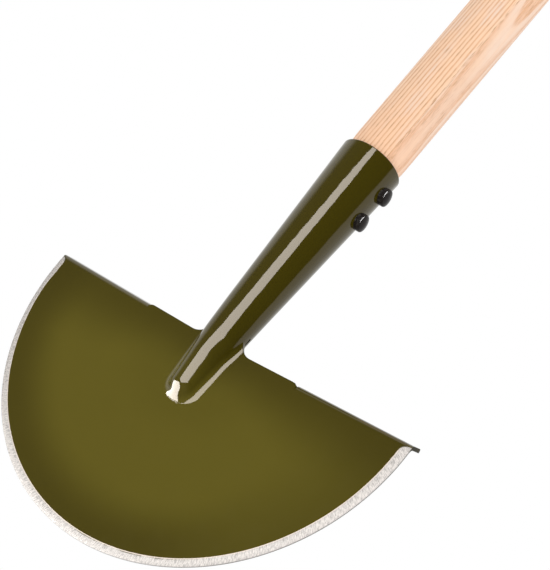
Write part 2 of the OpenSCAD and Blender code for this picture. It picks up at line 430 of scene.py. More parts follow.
def build_nose(skin, side_half, end_half):
    """Adds a section turned half round into another one; returns its edge on the sheet."""
    shift, rows = RIB_DRIFT * rib_share(-NOSE_Z), []
    for t in steps(0.0, pi, NOSE_STEPS):
        out, depth = ((1 - sin(t) ** 2) * side_half + sin(t) ** 2 * end_half).T
        fall = RIB_SETBACK / RIB_DROP * out * sin(t) * (1 - out / out[-1]) ** 2
        rows.append(blade_to_frame(np.column_stack([
            out * cos(t) + shift, depth + fall, -NOSE_Z - out * sin(t),
        ])))
    skin.grid(rows)
    return np.array([row[-1] for row in rows])


def on_plane(flat, depth):
    """Points (x, z) of the blade's own space at a depth in the sheet, in the frame."""
    return blade_to_frame(np.column_stack([flat[:, 0], np.full(len(flat), depth), flat[:, 1]]))


def arc(radius, depth, wander=0.0):
    """A circle of the blade's edge, from the right tread round to the left one."""
    start = -acos(edge_x(radius, -FOLD_LINE) / radius)
    at = steps(start, -pi - start, BEVEL_STEPS)
    r = radius + wander * bevel_wander(at + pi / 2)
    return on_plane(np.stack([r * np.cos(at), r * np.sin(at) - EDGE_ABOVE_CENTRE], axis=1), depth)


def build_head():
    """The pressing: rib and socket, flat sheet with its ground bevel, and folded treads."""
    skin = Skin()
    levels = np.r_[
        steps(-NOSE_Z, RIB_FINE_Z, RIB_ROWS)[:-1],
        steps(RIB_FINE_Z, 0.0, RIB_FINE_ROWS),
        steps(FLAT_TOP, WEB_TOP, WEB_ROWS),
        steps(WEB_TOP, FADE_TOP, FADE_ROWS)[1:],
        steps(FADE_TOP, SOCKET_LEN - RIM_ROUND, TUBE_ROWS)[1:],
    ]
    side_levels = [z for z in levels if z >= FLAT_TOP]
    back_levels = [z for z in levels if z >= 0]

    # Outside of rib and socket
    front_rows = [place(both_sides(half_front(z)), z) for z in levels]
    side_rows = [place(web_side(z), z) for z in side_levels]
    back_rows = [place(tube_back(z), z) for z in back_levels]
    skin.grid(front_rows)
    skin.grid(side_rows)
    skin.grid([row * MIRROR for row in side_rows])
    skin.grid(back_rows)

    # Bore, the open groove behind the rib, and the socket's lower rim at the back
    bore_rows = [place(groove(z), z) for z in levels]
    bore_back_rows = [place(tube_back(z, WALL), z) for z in back_levels]
    skin.grid(bore_rows)
    skin.grid(bore_back_rows)
    skin.grid([back_rows[0], bore_back_rows[0]])

    # Rounded rim of the mouth
    outside = np.concatenate([
        (side_rows[-1] * MIRROR)[:0:-1], front_rows[-1], side_rows[-1][1:], back_rows[-1][1:],
    ])
    inside = np.concatenate([bore_rows[-1], bore_back_rows[-1][1:]])
    outward = outside * (1, 1, 0) / np.linalg.norm(outside[:, :2], axis=1)[:, None]
    rim = [
        outside - outward * RIM_ROUND * (1 - cos(t)) + np.array([0, 0, RIM_ROUND * sin(t)])
        for t in steps(0.0, pi / 2, RIM_STEPS)
    ]
    skin.grid(rim + [inside + np.array([0, 0, RIM_ROUND]), inside])

    # Nose of the rib: its last section turned half round into a slope down to the blade
    nose_half = half_front(-NOSE_Z)
    nose_edge = build_nose(skin, nose_half, nose_slope(nose_half[0, 1]))
    groove_half = groove(-NOSE_Z)[GROOVE_HALF:]
    groove_edge = build_nose(skin, groove_half, groove_half)

    # Outline of the flat sheet, right half, from the web's top out to the tread's inner end
    notch_turn = asin((NOTCH_CENTRE_Z - FLAT_TOP) / NOTCH_R)
    low = steps(notch_turn, pi / 2, NOTCH_STEPS)[1:]
    straight = steps(NOTCH_X, TREAD_START, CUT_EDGE_STEPS)[1:]
    cut_edge = np.concatenate([
        np.stack([NOTCH_X - NOTCH_R * np.cos(low), NOTCH_CENTRE_Z - NOTCH_R * np.sin(low)], axis=1),
        np.stack([straight, cut_edge_z(straight)], axis=1),
    ])
    edge_rows = [side_rows[0]] + [
        blade_to_frame([(x, FRONT + SHEET * t, z) for t in WALL_STEPS]) for x, z in cut_edge
    ]
    skin.grid(edge_rows)
    skin.grid([row * MIRROR for row in edge_rows])

    # Ground bevel and its thin land
    bevel_rows = [arc(BLADE_R - BEVEL_W, FRONT, 1.0), arc(BLADE_R, BACK - EDGE_LAND), arc(BLADE_R, BACK)]
    skin.grid(bevel_rows, STEEL)

    front_corner, back_corner = build_tread(skin)

    # Front and back of the flat sheet
    def sheet(inner_rows, cut_rows, nose, bevel):
        right = np.concatenate([[row[-1] for row in inner_rows], cut_rows])
        left = np.concatenate([[row[0] for row in inner_rows], cut_rows * MIRROR])
        skin.face(np.concatenate([nose[::-1], right[1:], bevel, left[:0:-1]]))

    front_edge = np.concatenate([on_plane(cut_edge, FRONT), front_corner])
    back_edge = np.concatenate([
        [row[0] for row, z in zip(back_rows, back_levels) if z <= FADE_TOP + NEAR],
        [row[-1] for row, z in zip(side_rows, side_levels) if z < FADE_TOP - NEAR][::-1],
        on_plane(cut_edge, BACK),
        back_corner,
    ])
    rib_rows = [row for row, z in zip(front_rows, levels) if z <= FLAT_TOP]
    groove_rows = [row for row, z in zip(bore_rows, levels) if z <= 0]
    sheet(rib_rows, front_edge, nose_edge, bevel_rows[0])
    sheet(groove_rows, back_edge, groove_edge, bevel_rows[2])
    return skin.object("head_pressed", round_edges=EDGE_ROUND)


def build_tread(skin):
    """Adds both folded treads; returns the fold's first corner on the sheet's front and back."""
    centre = np.array([FRONT + BEND_OUTER_R, -FOLD_LINE])
    bevel_turn = acos((FRONT + BEND_OUTER_R - (BACK - EDGE_LAND)) / BEND_OUTER_R)
    turns = steps(0.0, TREAD_BEND, FOLD_STEPS)
    edge_step = int(np.argmin(abs(turns - EDGE_TURN)))
    turns[edge_step] = EDGE_TURN
    last_ground = int(np.argmin(abs(turns - bevel_turn)))
    turns[last_ground] = bevel_turn
    radial = np.stack([-np.cos(turns), np.sin(turns)], axis=1)
    along = np.array([sin(turns[-1]), cos(turns[-1])])
    corner = centre + (BEND_OUTER_R - TREAD_CORNER) * radial[-1] + (TREAD_DEPTH - TREAD_CORNER) * along
    rounding = [
        corner + TREAD_CORNER * (cos(t) * radial[-1] + sin(t) * along)
        for t in steps(0.0, pi / 2, TREAD_CORNER_STEPS)
    ]
    outer = np.concatenate([centre + BEND_OUTER_R * radial, rounding])
    inner = np.concatenate([centre + BEND_R * radial, [centre + BEND_R * radial[-1] + TREAD_DEPTH * along]])
    tip_x = edge_x(BLADE_R, -FOLD_LINE)
    slope = BEVEL_W / (SHEET - EDGE_LAND)

    def at(x, section):
        return blade_to_frame([(x, y, z + tread_rise(x)) for y, z in section])

    paint_ends, ground_ends = [], []
    for k, (y, z) in enumerate(outer):
        paint_x = edge_x(BLADE_R - BEVEL_W + (y - FRONT) * slope, z) if k < last_ground else tip_x
        paint_ends.append(at(paint_x, [(y, z)])[0])
        ground_ends.append(at(tip_x, [(max(y, BACK - EDGE_LAND), z)])[0])
    paint_ends, ground_ends = np.array(paint_ends), np.array(ground_ends)
    ground = slice(last_ground + 1)
    start_outer, start_inner = at(TREAD_START, outer), at(TREAD_START, inner)
    end_inner = at(tip_x, inner)
    start_z = cut_edge_z(TREAD_START)
    strip = blade_to_frame([(TREAD_START, FRONT + SHEET * t, start_z) for t in WALL_STEPS])
    for flip in (np.ones(3), MIRROR):
        skin.grid([start_outer * flip, paint_ends * flip])
        skin.grid([paint_ends[ground] * flip, ground_ends[ground] * flip], STEEL)
        skin.grid([start_inner * flip, end_inner * flip])
        skin.face(np.array([start_outer[-1], paint_ends[-1], end_inner[-1], start_inner[-1]]) * flip)
        skin.face(np.concatenate([ground_ends, end_inner[::-1]]) * flip, SCUFFED)
        skin.face(np.concatenate([start_outer[: edge_step + 1], strip[:1]]) * flip)
        skin.face(np.concatenate([start_outer[edge_step:], start_inner[::-1], strip[:0:-1]]) * flip)
    return [blade_to_frame([(TREAD_START, depth, -FOLD_LINE)]) for depth in (FRONT, BACK)]


def build_shaft():
    """Shaft from its foot in the socket up to the tenon's end in the grip."""
    foot_z, top_z = TREAD_Z + FOOT_GAP, MOUTH_Z + SHAFT_LEN
    swell_z, shoulder_z = MOUTH_Z + NECK_LEN, top_z - SHOULDER_LEN
    plain_z = swell_z + TAPER_LEN

    def bore(h):
        return girth(h) - (WALL + SHAFT_FIT)

    mouth_r = bore(SOCKET_LEN)
    profile = [
        (0.0, foot_z),
        (bore(FOOT_GAP) - FOOT_CHAMFER, foot_z),
        (bore(FOOT_GAP + FOOT_CHAMFER), foot_z + FOOT_CHAMFER),
    ]
    profile += [
        (mouth_r + (NECK_D / 2 - mouth_r) * sin(t * pi / 2), MOUTH_Z + NECK_LEN * t)
        for t in steps(0.0, 1.0, NECK_STEPS)
    ]
    stretches = (
        (NECK_D, SHAFT_D, swell_z, TAPER_LEN, SWELL_STEPS),
        (SHAFT_D, SHAFT_D, plain_z, shoulder_z - plain_z, SHAFT_STEPS),
        (SHAFT_D, SHOULDER_D, shoulder_z, SHOULDER_LEN - SADDLE_LEAD, SHOULDER_STEPS),
    )
    for d, end_d, z, length, count in stretches:
        profile += [(d / 2 + (end_d - d) / 2 * t, z + length * t) for t in steps(0.0, 1.0, count)[1:]]
    grip_r = GRIP_MID_D / 2
    rows = []
    for turn in full_turn(TURN_STEPS):
        c, s = cos(turn), sin(turn)
        row = [(r * c, r * s, z) for r, z in profile]
        for r in steps(SHOULDER_D / 2, TENON_D / 2, SADDLE_STEPS):
            row.append((r * c, r * s, GRIP_Z - sqrt((grip_r + GRIP_FIT) ** 2 - (r * s) ** 2)))
        for r in steps(TENON_D / 2, 0.0, TENON_END_STEPS):
            row.append((r * c, r * s, GRIP_Z + sqrt(grip_r**2 - (r * s) ** 2)))
        rows.append(row)
    return sweep("ash_shaft", rows)


def build_grip():
    """Turned cross grip with the holes for the tenon and the pin."""
    half, end_r, mid_r = GRIP_LEN / 2, GRIP_END_D / 2, GRIP_MID_D / 2
    round_r, round_x = end_r - GRIP_ROUND, half - GRIP_ROUND
    side = [(r, half) for r in (0.0, *GRIP_END_RINGS)]
    side += [
        (round_r + GRIP_ROUND * cos(t), round_x + GRIP_ROUND * sin(t))
        for t in steps(pi / 2, 0.0, GRIP_ROUND_STEPS)
    ]
    side += [(end_r, x) for x in steps(round_x, GRIP_MID_HALF + GRIP_TAPER, GRIP_END_STEPS)[1:-1]]
    side += [
        (end_r + (mid_r - end_r) * float(smoothstep(0.0, 1.0, t)), GRIP_MID_HALF + GRIP_TAPER * (1 - t))
        for t in steps(0.0, 1.0, GRIP_TAPER_STEPS)
    ]
    middle = [(mid_r, x) for x in steps(GRIP_MID_HALF, -GRIP_MID_HALF, GRIP_MID_STEPS)[1:-1]]
    profile = side + middle + [(r, -x) for r, x in side[::-1]]
    grip = sweep("ash_cross_grip", [
        [(x, r * cos(t), GRIP_Z + r * sin(t)) for r, x in profile] for t in full_turn(TURN_STEPS)
    ])
    drill(grip, TENON_D / 2 + GRIP_FIT, (0.0, 0.0, 1.0))
    drill(grip, GRIP_PIN_D / 2 + GRIP_FIT, (0.0, 1.0, 0.0))
    return grip


def drill(piece, radius, axis):
    """Cuts a round hole right through a piece at the grip's middle."""
    turned = Vector((0, 0, 1)).rotation_difference(Vector(axis)).to_matrix().to_4x4()
    cutter_mesh = bpy.data.meshes.new("drill")
    bm = bmesh.new()
    bmesh.ops.create_cone(
        bm, cap_ends=True, segments=DRILL_STEPS, radius1=radius * MM, radius2=radius * MM,
        depth=2 * GRIP_MID_D * MM, matrix=Matrix.Translation((0.0, 0.0, GRIP_Z * MM)) @ turned,
    )
    bm.to_mesh(cutter_mesh)
    bm.free()
    cutter = add_object("drill", cutter_mesh)
    cut = piece.modifiers.new("hole", "BOOLEAN")
    cut.operation, cut.solver, cut.object = "DIFFERENCE", "EXACT", cutter
    piece.modifiers.move(len(piece.modifiers) - 1, 0)
    kept = [m for m in piece.modifiers if m != cut]
    for modifier in kept:
        modifier.show_viewport = False
    drilled = bpy.data.meshes.new_from_object(piece.evaluated_get(bpy.context.evaluated_depsgraph_get()))
    drilled.name = piece.name
    piece.modifiers.remove(cut)
    for modifier in kept:
        modifier.show_viewport = True
    piece.data = drilled
    piece.data.set_sharp_from_angle(angle=SHARP_ANGLE)
    bpy.data.objects.remove(cutter)


def build_pin():
    """Steel pin across grip and tenon, with chamfered ends."""
    half, r = GRIP_MID_D / 2 - GRIP_PIN_RECESS, GRIP_PIN_D / 2
    end = [(0.0, half), (r - PIN_CHAMFER, half), (r, half - PIN_CHAMFER)]
    profile = end + [(q, -y) for q, y in end[::-1]]
    return sweep("steel_grip_pin", [
        [(q * cos(t), y, GRIP_Z + q * sin(t)) for q, y in profile] for t in full_turn(PIN_TURN_STEPS)
    ])


def build_rivet(name, z):
    """Rivet across socket and shaft: a low-crowned head on the socket's curve, and a flat tail."""
    r, shank_r = RIVET_HEAD_D / 2, RIVET_D / 2
    crown_h = RIVET_CROWN - RIVET_WALL
    crown_r = (r**2 + crown_h**2) / (2 * crown_h)
    crown_x = girth(z - TREAD_Z) + RIVET_CROWN - crown_r
    edge_r = r - RIVET_EDGE
    edge_rise = sqrt((crown_r - RIVET_EDGE) ** 2 - edge_r**2)
    meet = atan2(edge_r, edge_rise)
    crown = [(crown_r * sin(t), crown_x + crown_r * cos(t)) for t in steps(0.0, meet, CROWN_STEPS)]
    edge = [
        (edge_r + RIVET_EDGE * sin(t), crown_x + edge_rise + RIVET_EDGE * cos(t))
        for t in steps(meet, pi / 2, RIVET_EDGE_STEPS)[1:]
    ]
    tail = [(shank_r, 0.0)] + [(q, RIVET_TAIL_H) for q in (shank_r - RIVET_TAIL_H, shank_r / 2, 0.0)]

    def seated(q, c, s, rise):
        """Distance from the middle at which the socket's side, raised by rise, is reached."""
        return sqrt((girth(z + q * s - TREAD_Z) + rise) ** 2 - (q * c) ** 2)

    turn_c, turn_s = cos(RIVET_TURN), sin(RIVET_TURN)
    rows = []
    for turn in full_turn(RIVET_TURN_STEPS):
        c, s = cos(turn), sin(turn)
        row = [(x, q * c, q * s) for q, x in crown + edge]
        row += [(seated(q, c, s, -RIVET_SEAT), q * c, q * s) for q in (r, shank_r)]
        row += [(-seated(q, c, s, rise), q * c, q * s) for q, rise in tail]
        along, aside, up = np.array(row).T
        rows.append(np.column_stack([
            along * turn_c - aside * turn_s, along * turn_s + aside * turn_c, up + z,
        ]))
    return sweep(name, rows)


def dress(piece, node, slot, *materials):
    """The piece, put on the frame in place of its CAD node and given its materials."""
    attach(piece, "root")
    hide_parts(node)
    for material in materials:
        piece.data.materials.append(material)
    return piece


class Field:
    """A value that varies from place to place; arithmetic with it adds math nodes."""

    def __init__(self, nodes, socket):
        self.nodes, self.socket = nodes, socket

    def __add__(self, other):
        return self.nodes.math("ADD", self, other)

    def __sub__(self, other):
        return self.nodes.math("SUBTRACT", self, other)

    def __rsub__(self, other):
        return self.nodes.math("SUBTRACT", other, self)

    def __mul__(self, other):
        return self.nodes.math("MULTIPLY", self, other)

    def __truediv__(self, other):
        return self.nodes.math("DIVIDE", self, other)

    def __abs__(self):
        return self.nodes.math("ABSOLUTE", self)

    def ramp(self, low, high, start=0.0, end=1.0):
        """Smooth change from start to end while the value goes from low to high."""
        given = dict(enumerate((self, low, high, start, end)))
        return self.nodes.made("ShaderNodeMapRange", given, interpolation_type="SMOOTHSTEP")


class Nodes:
    """A node tree, whose calls take fields or constants and give fields."""

    def __init__(self, tree):
        self.tree = tree

    def add(self, kind, **settings):
        node = self.tree.nodes.new(kind)
        for key, value in settings.items():
            setattr(node, key, value)
        return node

    def wire(self, socket, value):
        """Links a field to an input, or sets the input to a constant."""
        if isinstance(value, Field):
            self.tree.links.new(value.socket, socket)
        else:
            socket.default_value = value

    def made(self, kind, inputs, output=0, **settings):
        """A field from a new node, given its inputs by name or number."""
        node = self.add(kind, **settings)
        for key, value in inputs.items():
            self.wire(node.inputs[key], value)
        return Field(self, node.outputs[output])

    def math(self, operation, *values):
        return self.made("ShaderNodeMath", dict(enumerate(values)), operation=operation)


class Shader(Nodes):
    """A new material's nodes, with the place on the object in mm."""

    def __init__(self, name):
        self.material = bpy.data.materials.new(name)
        self.material.use_nodes = True
        super().__init__(self.material.node_tree)
        self.surface = self.tree.nodes["Principled BSDF"]
        metres = self.made("ShaderNodeTexCoord", {}, "Object")
        self.place = self.made("ShaderNodeVectorMath", {0: metres, "Scale": 1 / MM}, operation="SCALE")
        split = self.add("ShaderNodeSeparateXYZ")
        self.wire(split.inputs[0], self.place)
        self.x, self.y, self.z = (Field(self, socket) for socket in split.outputs)

    def vector(self, *parts):
        return self.made("ShaderNodeCombineXYZ", dict(enumerate(parts)))

    def length(self, *parts):
        return self.made("ShaderNodeVectorMath", {0: self.vector(*parts)}, "Value", operation="LENGTH")

    def noise(self, wavelength, detail, roughness=0.5, at=None):
        """Noise by the place on the object, or by another vector."""
        given = dict(Vector=at or self.place, Scale=1 / wavelength, Detail=detail, Roughness=roughness)
        return self.made("ShaderNodeTexNoise", given, "Fac")

    def blend(self, share, first, second):
        """Colour between first and second."""
        first, second = (c if isinstance(c, Field) else (*c, 1.0) for c in (first, second))
        return self.made("ShaderNodeMix", {"Factor": share, 6: first, 7: second}, 2, data_type="RGBA")

    def bump(self, height, depth, over=None):
        """Normal of a surface with a height of up to depth, over another bump."""
        given = dict(Strength=1.0, Distance=depth * MM, Height=height)
        if over:
            given["Normal"] = over
        return self.made("ShaderNodeBump", given)

    def finished(self, **inputs):
        """The material, with its surface given."""
        for key, value in inputs.items():
            self.wire(self.surface.inputs[key.replace("_", " ")], value)
        return self.material


# Materials. Colours are linear, lengths in mm. A noise is given as wavelength, detail and roughness, a ramp
# as two limits of a value and the results there, which are 0 and 1 where they aren't given.

def about_arc(shade):
    """Radius and angle about the arc's centre, and the wander of the bevel's inner edge there."""
    drop = shade.z - ARC_Z
    radius = shade.length(shade.x, 0.0, drop)
    turn = shade.math("ARCTAN2", shade.x, drop * -1.0)
    swing = shade.math("COSINE", (turn - WANDER_PEAK) * WANDER_RATE)
    wander = (swing * WANDER_SWING + WANDER_MEAN) * abs(turn).ramp(*WANDER_FADE, 1.0, 0.0)
    return radius, turn, wander


# Lit and shaded tones of the olive enamel: painted light and painted shade
PAINT_LIT = (0.110, 0.090, 0.0095)
PAINT_SHADED = (0.048, 0.037, 0.002)
CHIP_STEEL = (0.45, 0.42, 0.38)
# Painted shading of the coat, from 0 shaded to 1 lit, by radius about the arc, height or depth
RIM_SHADE_LEFT = (80.0, 106.0, 1.0, 0.24)
RIM_SHADE_RIGHT = (66.0, 114.0, 1.0, 0.52)
RIM_SIDES = (35.0, 75.0)  # x between which the left rim's tone becomes the right's
TOP_FROM = (25.0, 70.0, TREAD_Z - 27.0, TREAD_Z - 40.0)  # height where the top edge's dark begins, by x
TOP_SHADE = (TREAD_Z - 1.0, 1.0, 0.22)
# Painted shadow round the rib, by radius about the arc
BESIDE_RIB_SHADOW = (36.0, 54.0, 0.88, 1.0)
RIB_SHADE = (FRONT - 3.0, FRONT - 0.2, 0.42, 1.0)
NOSE_LIT = (TREAD_Z - 31.0, TREAD_Z - 25.0, 0.60, 0.0)
BELOW_SOCKET = (TREAD_Z - 2.0, TREAD_Z + 2.0, 1.0, 0.0)
MOTTLE, MOTTLE_SHARE = (24.0, 3.0), 0.10
# Chips along the bevel, and the coat's gloss and waves, which are weak on the flat sheet
CHIP_RING = (BLADE_R - BEVEL_W - 1.0, BLADE_R - BEVEL_W)
CHIP_HEIGHTS = (TREAD_Z - 2.0, TREAD_Z, 1.0, 0.0)
CHIP_NOISE, CHIPPED = (2.2, 3.0), (0.60, 0.66)
GLOSS_NOISE, GLOSS = (6.0, 4.0), (0.3, 0.7, 0.035, 0.075)
FLAT_SHEET = (FRONT - 2.0, FRONT - 0.1)
WAVES_ON_FLAT = (0.0, 1.0, 1.0, 0.04)
WAVES, RIPPLES, RIPPLE_SHARE = (9.0, 1.0), (2.6, 1.0), 0.1
PEEL = (0.9, 2.0)


def olive_paint():
    """Gloss enamel with painted shading: lighter on the blade's broad face, with painted shade towards the
    rim and top edge and on rib and socket.
    """
    shade = Shader("olive_enamel")
    radius, _, wander = about_arc(shade)
    depth = shade.y + (shade.z - TREAD_Z) * tan(LEAN)
    # Painted shading: darker towards the rim and top edge, beside the rib and on rib and socket, less so on
    # the nose
    rim = shade.x.ramp(*RIM_SIDES, radius.ramp(*RIM_SHADE_LEFT), radius.ramp(*RIM_SHADE_RIGHT))
    top = shade.z.ramp(abs(shade.x).ramp(*TOP_FROM), *TOP_SHADE)
    rib = shade.math("MAXIMUM", depth.ramp(*RIB_SHADE), shade.z.ramp(*NOSE_LIT))
    below_socket = shade.z.ramp(*BELOW_SOCKET)
    face = (rim * top) * (rib * below_socket) * radius.ramp(*BESIDE_RIB_SHADOW)
    tone = face + (shade.noise(*MOTTLE) - 0.5) * MOTTLE_SHARE
    chip_zone = (radius - wander).ramp(*CHIP_RING) * shade.z.ramp(*CHIP_HEIGHTS)
    chips = (chip_zone * shade.noise(*CHIP_NOISE)).ramp(*CHIPPED)
    on_flat = depth.ramp(*FLAT_SHEET) * below_socket
    waves = shade.noise(*WAVES) + shade.noise(*RIPPLES) * RIPPLE_SHARE
    waves = shade.bump(waves * on_flat.ramp(*WAVES_ON_FLAT), depth=0.10)
    return shade.finished(
        Base_Color=shade.blend(chips, shade.blend(tone, PAINT_SHADED, PAINT_LIT), CHIP_STEEL),
        Roughness=shade.noise(*GLOSS_NOISE).ramp(*GLOSS),
        IOR=1.5,
        Specular_Tint=(1.0, 0.90, 0.80, 1.0),
        Normal=shade.bump(shade.noise(*PEEL), depth=0.004, over=waves),
    )


SCUFF_DARK = (0.030, 0.024, 0.008)
SCUFF_LIGHT = (0.085, 0.075, 0.045)
SCUFF_NOISE, SCUFFS = (1.2, 4.0, 0.65), (0.35, 0.7)
SCUFF_ROUGHNESS = (0.3, 0.7, 0.5, 0.7)


def scuffed_paint():
    """Thin, dull paint on the treads' sheared ends."""
    shade = Shader("scuffed_enamel")
    worn = shade.noise(*SCUFF_NOISE)
    return shade.finished(
        Base_Color=shade.blend(worn.ramp(*SCUFFS), SCUFF_DARK, SCUFF_LIGHT),
        Roughness=worn.ramp(*SCUFF_ROUGHNESS),
        Specular_IOR_Level=0.25,
        Normal=shade.bump(worn, depth=0.03),
    )


STEEL_DULL = (0.25, 0.235, 0.222)
STEEL_BRIGHT = (0.50, 0.466, 0.436)
STEEL_NICK = (0.20, 0.185, 0.175)
STEEL_LAND = (0.29, 0.275, 0.26)
PRIMER = (0.86, 0.70, 0.53)
BURR = (0.075, 0.063, 0.030)
# Grinding lines, which slant across the bevel, and nicks between them
LINE_SLANT, LINE_STRETCH = 0.5, 0.16
LINE_NOISE, LINE_TONE = (0.38, 3.0, 0.7), (0.37, 0.58)
NICK_NOISE, NICKS = (0.8, 3.0, 0.7), (0.54, 0.70, 0.0, 0.65)
GROUND_ROUGHNESS = (0.7, 1.3, 0.45, 0.62)
# By distance from the paint: a trace of primer, and a dark burr over part of the arc
PRIMER_LINE = (0.05, 0.5, 0.45, 0.0)
BURR_AT, BURR_WIDTH = 0.5, (0.08, 0.34, 1.0, 0.0)
BURR_NOISE, BURR_LAYER, BURR_PLACES = (4.0, 4.0, 0.65), 3.0, (0.38, 0.56)
BURR_FROM, BURR_TO = (-6.0, 8.0), (45.0, 66.0, 1.0, 0.0)
BURR_SHARE = 0.8
LAND_RING = (BLADE_R - 0.4, BLADE_R - 0.05)
# Rounded end of the bare steel at the tips, from the fold
PAINT_END_DROP, PAINT_END_RISE = 1.9, 4.2
PAINT_END_EDGE = (-0.15, 0.15)


def ground_steel():
    """Bevel ground bright, with fine lines across it."""
    shade = Shader("ground_steel")
    radius, turn, wander = about_arc(shade)
    around = turn * BLADE_R
    from_paint = radius - (BLADE_R - BEVEL_W) - wander
    lines = shade.vector(around + radius * LINE_SLANT, radius * LINE_STRETCH, 0.0)
    lines = shade.noise(*LINE_NOISE, at=lines)
    nicks = shade.noise(*NICK_NOISE, at=shade.vector(around, radius, 0.0))
    colour = shade.blend(lines.ramp(*LINE_TONE), STEEL_DULL, STEEL_BRIGHT)
    colour = shade.blend(nicks.ramp(*NICKS), colour, STEEL_NICK)
    colour = shade.blend(from_paint.ramp(*PRIMER_LINE), colour, PRIMER)
    burr = abs(from_paint - BURR_AT).ramp(*BURR_WIDTH)
    burr *= shade.noise(*BURR_NOISE, at=shade.vector(around, radius, BURR_LAYER)).ramp(*BURR_PLACES)
    burr *= shade.x.ramp(*BURR_FROM) * shade.x.ramp(*BURR_TO)
    colour = shade.blend(burr * BURR_SHARE, colour, BURR)
    colour = shade.blend(radius.ramp(*LAND_RING), colour, STEEL_LAND)
    rise = (abs(shade.x) - TREAD_START) * tan(TREAD_RISE)
    above_fold = shade.z - (TREAD_Z - FOLD_LINE) - rise
    inward = (BLADE_R - radius) / BEVEL_W
    round_end = shade.math("SQRT", shade.math("MAXIMUM", 1.0 - shade.math("POWER", inward, 2.0), 0.0))
    painted = (above_fold - (round_end * PAINT_END_RISE - PAINT_END_DROP)).ramp(*PAINT_END_EDGE)
    # The paint on the tips is drawn in the coat's painted-shade tone
    return shade.finished(
        Base_Color=shade.blend(painted, colour, PAINT_SHADED),
        Metallic=0.2,
        Roughness=(lines + nicks).ramp(*GROUND_ROUGHNESS),
        Specular_IOR_Level=0.25,
        Normal=shade.bump(lines, depth=0.015),
    )


ASH_BASE = (0.93, 0.625, 0.425)
ASH_PALE = (0.88, 0.65, 0.51)
ASH_EARLY = (0.77, 0.42, 0.235)
ASH_RUDDY = (0.95, 0.57, 0.36)
ASH_PORE = (0.50, 0.27, 0.14)
# Noises drawn out along the grain: the share of the length that counts, then the noise
SWAY = (0.12, 16.0, 2.0)
FIBRE = (0.02, 0.45, 3.0, 0.65)
PORE = (0.05, 0.28, 1.0)
CLOUD = (0.2, 6.0, 3.0)
# Straight growth layers, and the shares of a layer at which its early wood is darkest and ends
PITH_TURN = radians(20.0)
RING_WIDTH, RING_SWAY, RING_EARLY = 2.05, 2.0, (0.14, 0.6)
GRAIN_TILT = -0.008
EARLY_CREST = 0.05  # share of a layer over which it stays darkest
# Arched layers on the pale side, with eyes along the grain
EYE_TURN = radians(-16.0)
EYE_AT, EYE_LEN = MOUTH_Z + 54.0, 360.0
EYE_RING, EYE_SWAY, EYE_EARLY = 2.2, 1.2, (0.15, 0.8)
EYE_START = 15.15
PALE_SIDE, PALE_SWAY = (8.5, 10.2), 3.0
STRAIGHT_SHARE, ARCH_SHARE = (0.0, 1.0, 1.0, 0.1), 0.7
PORES, PORES_IN_EARLY = (0.55, 0.65), (0.1, 0.7, 0.15, 1.0)
PORES_AT_BORDER, PORE_SHARE = (0.02, 0.15, 0.0, 1.5), 0.6
PALE_CLOUDS, PALE_SIDE_CLOUDS = (0.45, 0.75), (0.3, 0.6, 0.5, 1.0)
RUDDY_AT_MOUTH = (MOUTH_Z, MOUTH_Z + 45.0, 0.45, 0.0)
EARLY_FIBRES = (0.3, 0.6, 0.45, 1.1)
ASH_ROUGHNESS = (0.3, 0.7, 0.42, 0.58)


def ash_wood(name, along):
    """Straight-grained ash with open pores; along is the axis that the grain follows."""
    shade = Shader(name)
    if along == "z":
        across, deep, run = shade.x, shade.y, shade.z
    else:
        across, deep, run = shade.z - GRIP_Z, shade.y, shade.x

    def towards(turn):
        """Distance from the axis in the direction that turn gives."""
        return across * cos(turn) + deep * sin(turn)

    def stretched(share, *noise):
        """Noise drawn out along the grain."""
        return shade.noise(*noise, at=shade.vector(across, deep, run * share))

    def layers(growth, width, darkest, end):
        """Early wood of growth layers: dark at each start, fading into the pale late wood."""
        share = shade.math("FRACT", growth / width)
        return share.ramp(0.0, darkest) * share.ramp(darkest + EARLY_CREST, end, 1.0, 0.0)

    sway, fibre, pore, cloud = (stretched(*noise) for noise in (SWAY, FIBRE, PORE, CLOUD))
    outward = towards(PITH_TURN)
    straight = layers(outward + run * GRAIN_TILT + sway * RING_SWAY, RING_WIDTH, *RING_EARLY)
    pale_side = (outward + sway * PALE_SWAY).ramp(*PALE_SIDE)
    eye = shade.math("COSINE", (run - EYE_AT) * (2 * pi / EYE_LEN))
    arched = towards(EYE_TURN) - eye * EYE_RING + sway * EYE_SWAY
    arches = layers(arched - EYE_START, EYE_RING, *EYE_EARLY)
    early = straight * pale_side.ramp(*STRAIGHT_SHARE) + arches * (pale_side * ARCH_SHARE)
    border = pale_side * (1.0 - pale_side)
    porous = shade.math("MAXIMUM", early.ramp(*PORES_IN_EARLY), border.ramp(*PORES_AT_BORDER))
    pores = pore.ramp(*PORES) * porous
    pale = shade.math("MAXIMUM", cloud.ramp(*PALE_CLOUDS), pale_side * cloud.ramp(*PALE_SIDE_CLOUDS))
    colour = shade.blend(pale, ASH_BASE, ASH_PALE)
    if along == "z":
        colour = shade.blend(run.ramp(*RUDDY_AT_MOUTH), colour, ASH_RUDDY)
    colour = shade.blend(early * fibre.ramp(*EARLY_FIBRES), colour, ASH_EARLY)
    return shade.finished(
        Base_Color=shade.blend(pores * PORE_SHARE, colour, ASH_PORE),
        Roughness=fibre.ramp(*ASH_ROUGHNESS),
        IOR=1.45,
        Normal=shade.bump(fibre - pores, depth=0.03),
    )


RIVET_BLACK = (0.014, 0.011, 0.010)
RIVET_RUBBED = (0.045, 0.040, 0.034)
RUBBED_RING, RUB_NOISE, RUBBED = (3.2, 4.6), (1.6, 4.0), (0.45, 0.75)
SATIN_NOISE, SATIN = (1.1, 3.0), (0.3, 0.7, 0.14, 0.24)
HAMMER_NOISE, BLACK_GRAIN = (2.4, 1.0), (0.5, 2.0)


